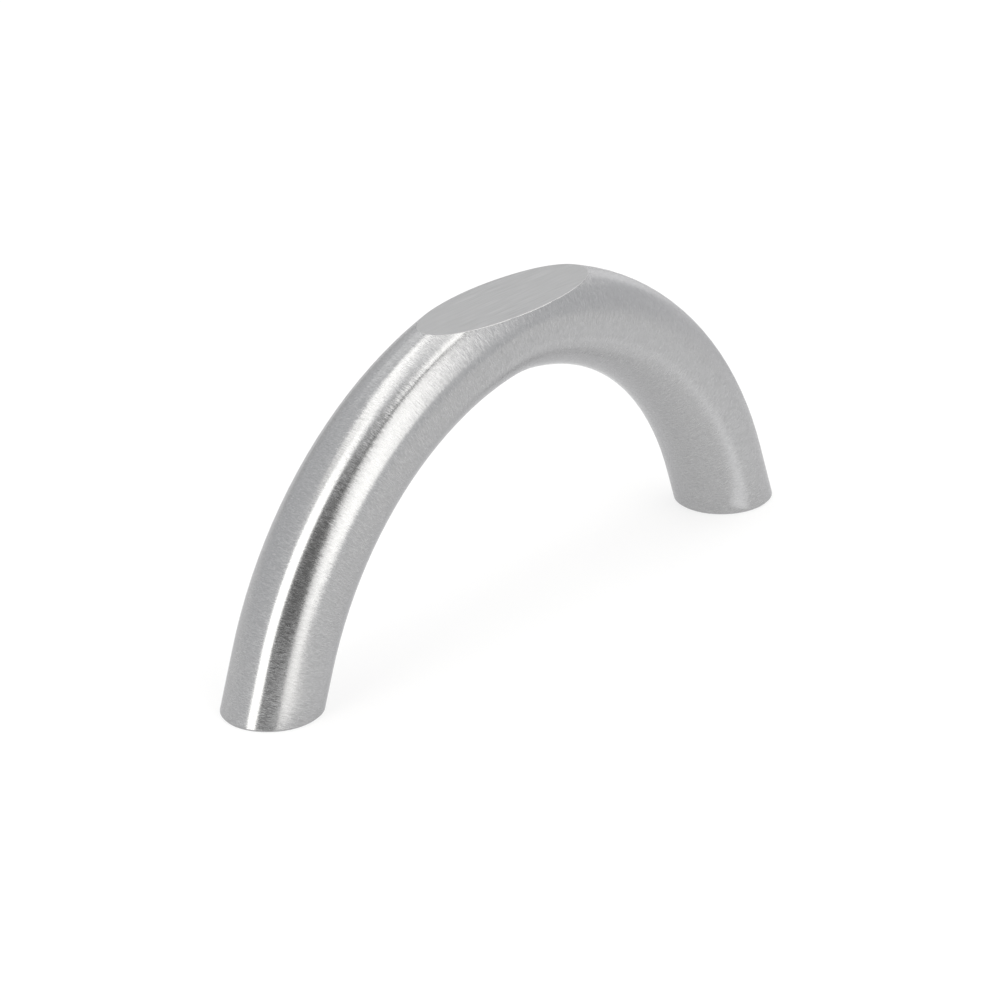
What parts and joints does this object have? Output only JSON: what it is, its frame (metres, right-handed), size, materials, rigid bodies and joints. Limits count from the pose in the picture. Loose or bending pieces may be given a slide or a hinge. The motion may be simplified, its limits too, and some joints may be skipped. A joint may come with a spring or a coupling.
{
  "type": "cabinet handle",
  "caption": "Arched bow handle bent from a round brushed steel bar, with a flat milled on the crown and blind tapped holes in its flat-cut feet.",
  "frame": {"origin": "on the plane of both feet, the cabinet face, midway between the two screw holes", "axes": "+X from the left foot to the right foot, +Z away from the cabinet face, +Y across the bar"},
  "size_m": [0.1106, 0.014, 0.0455],
  "materials": {
    "brushed_stainless": "brushed round the bar, lengthwise on the milled flat"
  },
  "bodies": {
    "root": {"handle_bar": "brushed_stainless"}
  },
  "joints": []
}
